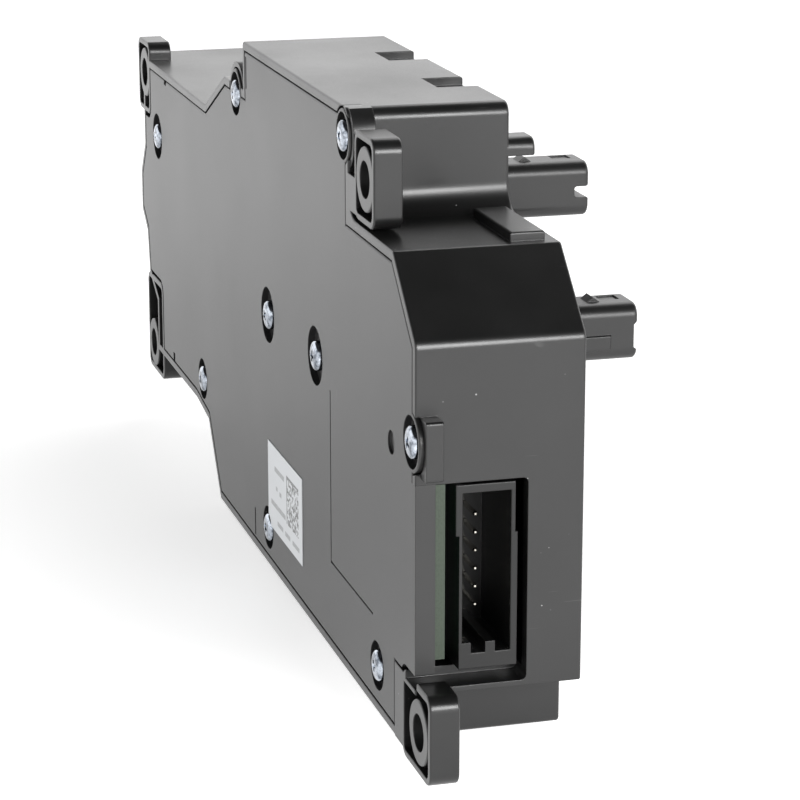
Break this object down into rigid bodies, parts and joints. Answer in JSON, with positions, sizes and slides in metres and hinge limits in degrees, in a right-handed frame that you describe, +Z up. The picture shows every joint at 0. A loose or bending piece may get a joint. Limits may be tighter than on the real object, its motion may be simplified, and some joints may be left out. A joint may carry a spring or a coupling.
{
  "type": "dashboard control module",
  "caption": "Black moulded dashboard control module with a screwed rear cover, shrouded pin header, boxed screw ears and two rotary control shafts.",
  "frame": {"origin": "axis of the lower right ear's screw hole, in the plane of the rear cover's outer face", "axes": "+X along the length towards the header end, +Y from the rear cover to the front where the shafts stand out, +Z up as installed"},
  "size_m": [0.2371, 0.0453, 0.0997],
  "materials": {
    "housing_plastic": "fine-grained black moulding, satin",
    "cover_plastic": "fine-grained black moulding, satin",
    "shaft_plastic": "smooth black moulding",
    "header_plastic": "smooth black moulding",
    "inner_plastic": "natural acetal moulding",
    "board": "green solder mask on glass epoxy",
    "pin_tin": "tin-plated brass",
    "screw_zinc": "bright zinc plate",
    "label_paper": "matt white label stock",
    "spring_steel": "spring steel strip",
    "contact_bronze": "phosphor bronze",
    "chip_epoxy": "moulded epoxy package",
    "can_aluminium": "drawn can",
    "crystal_can": "drawn can",
    "ferrite": "ferrite and resin",
    "chip_ceramic": "sintered ceramic",
    "resistor_film": "thick film on alumina"
  },
  "bodies": {
    "module": {"front_housing": "housing_plastic", "rear_cover": "cover_plastic", "circuit_board": "board", "header_shell": "header_plastic", "header_pins": "pin_tin", "cover_screws": "screw_zinc", "label": "label_paper", "microcontroller": "chip_epoxy", "motor_drivers": "chip_epoxy", "voltage_regulator": "chip_epoxy", "electrolytic_capacitors": "can_aluminium", "power_inductor": "ferrite", "clock_crystal": "crystal_can", "chip_capacitors": "chip_ceramic", "chip_resistors": "resistor_film", "switch_terminals": "pin_tin", "upper_switch_case": "chip_epoxy", "upper_detent_spring": "spring_steel", "lower_switch_case": "chip_epoxy", "lower_detent_spring": "spring_steel"},
    "upper_control": {"upper_shaft": "shaft_plastic", "upper_rotor": "inner_plastic", "upper_wiper": "contact_bronze"},
    "lower_control": {"lower_shaft": "shaft_plastic", "lower_rotor": "inner_plastic", "lower_wiper": "contact_bronze"}
  },
  "joints": [
    {"name": "upper_turn", "type": "hinge", "parent": "module", "child": "upper_control", "pos_m": [-0.0552, 0.03, 0.0754], "axis": [0, 1, 0], "range_deg": [-135, 135]},
    {"name": "lower_turn", "type": "hinge", "parent": "module", "child": "lower_control", "pos_m": [-0.0272, 0.03, 0.057], "axis": [0, 1, 0], "range_deg": [-75, 75]}
  ]
}
